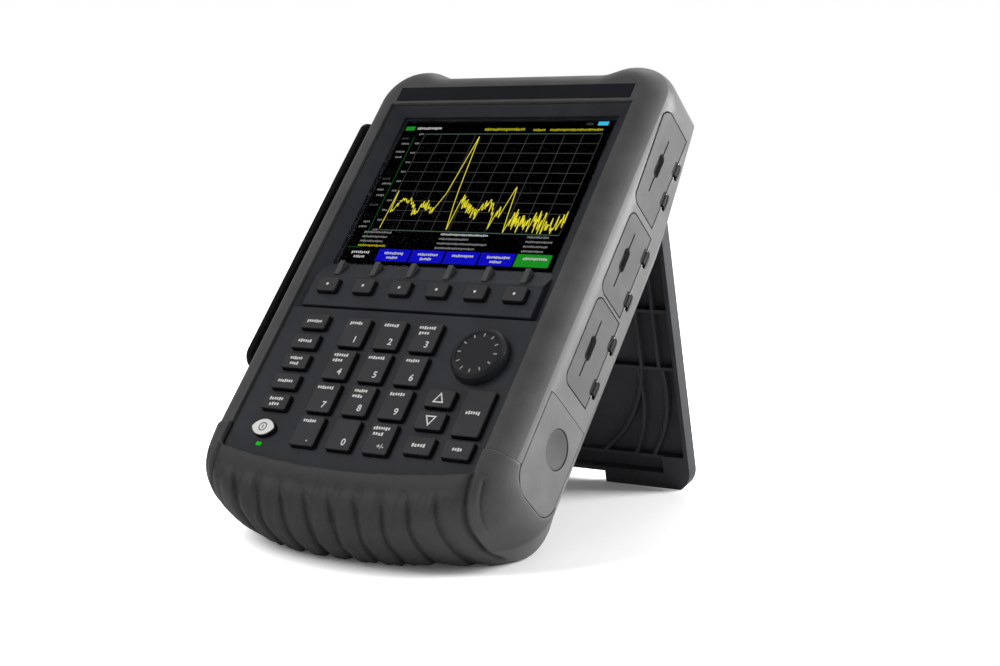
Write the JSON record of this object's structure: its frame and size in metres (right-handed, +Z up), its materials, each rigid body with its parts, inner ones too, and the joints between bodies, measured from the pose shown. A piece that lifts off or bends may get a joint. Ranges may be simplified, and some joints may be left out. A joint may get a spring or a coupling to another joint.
{
  "type": "handheld microwave analyzer",
  "caption": "Rugged handheld microwave analyzer with colour screen, softkeys, number pad, tuning knob, side connector doors, hand strap, rubber boot and folding kick stand.",
  "frame": {"origin": "middle of the flat on the boot's underside that stands on the floor", "axes": "+X to the user's right, the front faces -Y and leans back, +Z up from the floor"},
  "size_m": [0.2039, 0.2532, 0.2364],
  "materials": {
    "case_grey": "soft-touch grey moulding",
    "boot_grey": "matt rubber",
    "panel_charcoal": "fine matt",
    "strip_black": "satin, bare",
    "window_glass": "clear hard coat",
    "display_dark": "dark display face",
    "mat_rubber": "matt",
    "board_green": "solder mask",
    "socket_black": "moulded",
    "pin_steel": "ground",
    "knob_charcoal": "fine matt",
    "module_aluminium": "milled",
    "battery_shell": "moulded",
    "battery_door_grey": "smooth",
    "button_grey": "smooth",
    "door_grey": "matt",
    "stand_black": "fine grain",
    "port_metal": "turned",
    "strap_pad_black": "woven",
    "webbing_black": "woven",
    "anchor_black": "moulded",
    "screw_steel": "blackened",
    "lens_green": "clear green",
    "key_charcoal": "fine matt",
    "key_white": "satin"
  },
  "bodies": {
    "chassis": {"front_frame": "case_grey", "rear_case": "case_grey", "bottom_boot": "boot_grey", "front_panel": "panel_charcoal", "name_strip": "strip_black", "display_window": "window_glass", "display_panel": "display_dark", "key_mat": "mat_rubber", "keypad_board": "board_green", "main_board": "board_green", "encoder_body": "socket_black", "microwave_module": "module_aluminium", "battery_pack": "battery_shell", "door_hinge_pins": "pin_steel", "stand_hinge_pins": "pin_steel", "side_sockets": "socket_black", "signal_ports": "port_metal", "strap_pad": "strap_pad_black", "strap_webbing": "webbing_black", "strap_anchors": "anchor_black", "case_screws": "screw_steel", "status_lens": "lens_green", "back_plate": "case_grey"},
    "knob": {"tuning_knob": "knob_charcoal", "knob_shaft": "pin_steel"},
    "stand": {"kick_stand": "stand_black"},
    "lower_door": {"lower_door": "door_grey"},
    "middle_door": {"middle_door": "door_grey"},
    "upper_door": {"upper_door": "door_grey"},
    "battery_door": {"battery_door": "battery_door_grey"},
    "battery_button": {"battery_button": "button_grey"},
    "softkey_1": {"softkey_1": "key_charcoal"},
    "softkey_2": {"softkey_2": "key_charcoal"},
    "softkey_3": {"softkey_3": "key_charcoal"},
    "softkey_4": {"softkey_4": "key_charcoal"},
    "softkey_5": {"softkey_5": "key_charcoal"},
    "softkey_6": {"softkey_6": "key_charcoal"},
    "function_key_1": {"function_key_1": "key_charcoal"},
    "function_key_2": {"function_key_2": "key_charcoal"},
    "function_key_3": {"function_key_3": "key_charcoal"},
    "function_key_4": {"function_key_4": "key_charcoal"},
    "function_key_5": {"function_key_5": "key_charcoal"},
    "digit_key_0": {"digit_key_0": "key_charcoal"},
    "digit_key_1": {"digit_key_1": "key_charcoal"},
    "digit_key_2": {"digit_key_2": "key_charcoal"},
    "digit_key_3": {"digit_key_3": "key_charcoal"},
    "digit_key_4": {"digit_key_4": "key_charcoal"},
    "digit_key_5": {"digit_key_5": "key_charcoal"},
    "digit_key_6": {"digit_key_6": "key_charcoal"},
    "digit_key_7": {"digit_key_7": "key_charcoal"},
    "digit_key_8": {"digit_key_8": "key_charcoal"},
    "digit_key_9": {"digit_key_9": "key_charcoal"},
    "point_key": {"point_key": "key_charcoal"},
    "sign_key": {"sign_key": "key_charcoal"},
    "arrow_up_key": {"arrow_up_key": "key_charcoal"},
    "arrow_down_key": {"arrow_down_key": "key_charcoal"},
    "enter_key": {"enter_key": "key_charcoal"},
    "back_key": {"back_key": "key_charcoal"},
    "escape_key": {"escape_key": "key_charcoal"},
    "power_key": {"power_key": "key_white"}
  },
  "joints": [
    {"name": "stand_hinge", "type": "hinge", "parent": "chassis", "child": "stand", "pos_m": [0, 0.16147, 0.16577], "axis": [-1, 0, 0], "range_deg": [0, 55]},
    {"name": "knob_turn", "type": "hinge", "parent": "chassis", "child": "knob", "pos_m": [0.0534, 0.01179, 0.09647], "axis": [0, -0.7547, 0.6561], "continuous": true},
    {"name": "lower_door_hinge", "type": "hinge", "parent": "chassis", "child": "lower_door", "pos_m": [0.0922, 0.06055, 0.08854], "axis": [0, 0.6561, 0.7547], "range_deg": [0, 100]},
    {"name": "middle_door_hinge", "type": "hinge", "parent": "chassis", "child": "middle_door", "pos_m": [0.0922, 0.09379, 0.12907], "axis": [0, 0.6561, 0.7547], "range_deg": [0, 100]},
    {"name": "upper_door_hinge", "type": "hinge", "parent": "chassis", "child": "upper_door", "pos_m": [0.0922, 0.12961, 0.17485], "axis": [0, 0.6561, 0.7547], "range_deg": [0, 100]},
    {"name": "battery_door_slide", "type": "slide", "parent": "chassis", "child": "battery_door", "axis": [1, 0, 0], "range_m": [0, 0.04]},
    {"name": "battery_button_press", "type": "slide", "parent": "battery_door", "child": "battery_button", "axis": [-1, 0, 0], "range_m": [0, 0.0008], "stiffness_N_per_m": 600, "springref_m": -0.001},
    {"name": "softkey_1_press", "type": "slide", "parent": "chassis", "child": "softkey_1", "axis": [0, 0.7547, -0.6561], "range_m": [0, 0.0012], "stiffness_N_per_m": 400, "springref_m": -0.0012},
    {"name": "softkey_2_press", "type": "slide", "parent": "chassis", "child": "softkey_2", "axis": [0, 0.7547, -0.6561], "range_m": [0, 0.0012], "stiffness_N_per_m": 400, "springref_m": -0.0012},
    {"name": "softkey_3_press", "type": "slide", "parent": "chassis", "child": "softkey_3", "axis": [0, 0.7547, -0.6561], "range_m": [0, 0.0012], "stiffness_N_per_m": 400, "springref_m": -0.0012},
    {"name": "softkey_4_press", "type": "slide", "parent": "chassis", "child": "softkey_4", "axis": [0, 0.7547, -0.6561], "range_m": [0, 0.0012], "stiffness_N_per_m": 400, "springref_m": -0.0012},
    {"name": "softkey_5_press", "type": "slide", "parent": "chassis", "child": "softkey_5", "axis": [0, 0.7547, -0.6561], "range_m": [0, 0.0012], "stiffness_N_per_m": 400, "springref_m": -0.0012},
    {"name": "softkey_6_press", "type": "slide", "parent": "chassis", "child": "softkey_6", "axis": [0, 0.7547, -0.6561], "range_m": [0, 0.0012], "stiffness_N_per_m": 400, "springref_m": -0.0012},
    {"name": "function_key_1_press", "type": "slide", "parent": "chassis", "child": "function_key_1", "axis": [0, 0.7547, -0.6561], "range_m": [0, 0.0012], "stiffness_N_per_m": 400, "springref_m": -0.0012},
    {"name": "function_key_2_press", "type": "slide", "parent": "chassis", "child": "function_key_2", "axis": [0, 0.7547, -0.6561], "range_m": [0, 0.0012], "stiffness_N_per_m": 400, "springref_m": -0.0012},
    {"name": "function_key_3_press", "type": "slide", "parent": "chassis", "child": "function_key_3", "axis": [0, 0.7547, -0.6561], "range_m": [0, 0.0012], "stiffness_N_per_m": 400, "springref_m": -0.0012},
    {"name": "function_key_4_press", "type": "slide", "parent": "chassis", "child": "function_key_4", "axis": [0, 0.7547, -0.6561], "range_m": [0, 0.0012], "stiffness_N_per_m": 400, "springref_m": -0.0012},
    {"name": "function_key_5_press", "type": "slide", "parent": "chassis", "child": "function_key_5", "axis": [0, 0.7547, -0.6561], "range_m": [0, 0.0012], "stiffness_N_per_m": 400, "springref_m": -0.0012},
    {"name": "digit_key_0_press", "type": "slide", "parent": "chassis", "child": "digit_key_0", "axis": [0, 0.7547, -0.6561], "range_m": [0, 0.0012], "stiffness_N_per_m": 400, "springref_m": -0.0012},
    {"name": "digit_key_1_press", "type": "slide", "parent": "chassis", "child": "digit_key_1", "axis": [0, 0.7547, -0.6561], "range_m": [0, 0.0012], "stiffness_N_per_m": 400, "springref_m": -0.0012},
    {"name": "digit_key_2_press", "type": "slide", "parent": "chassis", "child": "digit_key_2", "axis": [0, 0.7547, -0.6561], "range_m": [0, 0.0012], "stiffness_N_per_m": 400, "springref_m": -0.0012},
    {"name": "digit_key_3_press", "type": "slide", "parent": "chassis", "child": "digit_key_3", "axis": [0, 0.7547, -0.6561], "range_m": [0, 0.0012], "stiffness_N_per_m": 400, "springref_m": -0.0012},
    {"name": "digit_key_4_press", "type": "slide", "parent": "chassis", "child": "digit_key_4", "axis": [0, 0.7547, -0.6561], "range_m": [0, 0.0012], "stiffness_N_per_m": 400, "springref_m": -0.0012},
    {"name": "digit_key_5_press", "type": "slide", "parent": "chassis", "child": "digit_key_5", "axis": [0, 0.7547, -0.6561], "range_m": [0, 0.0012], "stiffness_N_per_m": 400, "springref_m": -0.0012},
    {"name": "digit_key_6_press", "type": "slide", "parent": "chassis", "child": "digit_key_6", "axis": [0, 0.7547, -0.6561], "range_m": [0, 0.0012], "stiffness_N_per_m": 400, "springref_m": -0.0012},
    {"name": "digit_key_7_press", "type": "slide", "parent": "chassis", "child": "digit_key_7", "axis": [0, 0.7547, -0.6561], "range_m": [0, 0.0012], "stiffness_N_per_m": 400, "springref_m": -0.0012},
    {"name": "digit_key_8_press", "type": "slide", "parent": "chassis", "child": "digit_key_8", "axis": [0, 0.7547, -0.6561], "range_m": [0, 0.0012], "stiffness_N_per_m": 400, "springref_m": -0.0012},
    {"name": "digit_key_9_press", "type": "slide", "parent": "chassis", "child": "digit_key_9", "axis": [0, 0.7547, -0.6561], "range_m": [0, 0.0012], "stiffness_N_per_m": 400, "springref_m": -0.0012},
    {"name": "point_key_press", "type": "slide", "parent": "chassis", "child": "point_key", "axis": [0, 0.7547, -0.6561], "range_m": [0, 0.0012], "stiffness_N_per_m": 400, "springref_m": -0.0012},
    {"name": "sign_key_press", "type": "slide", "parent": "chassis", "child": "sign_key", "axis": [0, 0.7547, -0.6561], "range_m": [0, 0.0012], "stiffness_N_per_m": 400, "springref_m": -0.0012},
    {"name": "arrow_up_key_press", "type": "slide", "parent": "chassis", "child": "arrow_up_key", "axis": [0, 0.7547, -0.6561], "range_m": [0, 0.0012], "stiffness_N_per_m": 400, "springref_m": -0.0012},
    {"name": "arrow_down_key_press", "type": "slide", "parent": "chassis", "child": "arrow_down_key", "axis": [0, 0.7547, -0.6561], "range_m": [0, 0.0012], "stiffness_N_per_m": 400, "springref_m": -0.0012},
    {"name": "enter_key_press", "type": "slide", "parent": "chassis", "child": "enter_key", "axis": [0, 0.7547, -0.6561], "range_m": [0, 0.0012], "stiffness_N_per_m": 400, "springref_m": -0.0012},
    {"name": "back_key_press", "type": "slide", "parent": "chassis", "child": "back_key", "axis": [0, 0.7547, -0.6561], "range_m": [0, 0.0012], "stiffness_N_per_m": 400, "springref_m": -0.0012},
    {"name": "escape_key_press", "type": "slide", "parent": "chassis", "child": "escape_key", "axis": [0, 0.7547, -0.6561], "range_m": [0, 0.0012], "stiffness_N_per_m": 400, "springref_m": -0.0012},
    {"name": "power_key_press", "type": "slide", "parent": "chassis", "child": "power_key", "axis": [0, 0.7547, -0.6561], "range_m": [0, 0.0012], "stiffness_N_per_m": 400, "springref_m": -0.0012}
  ]
}
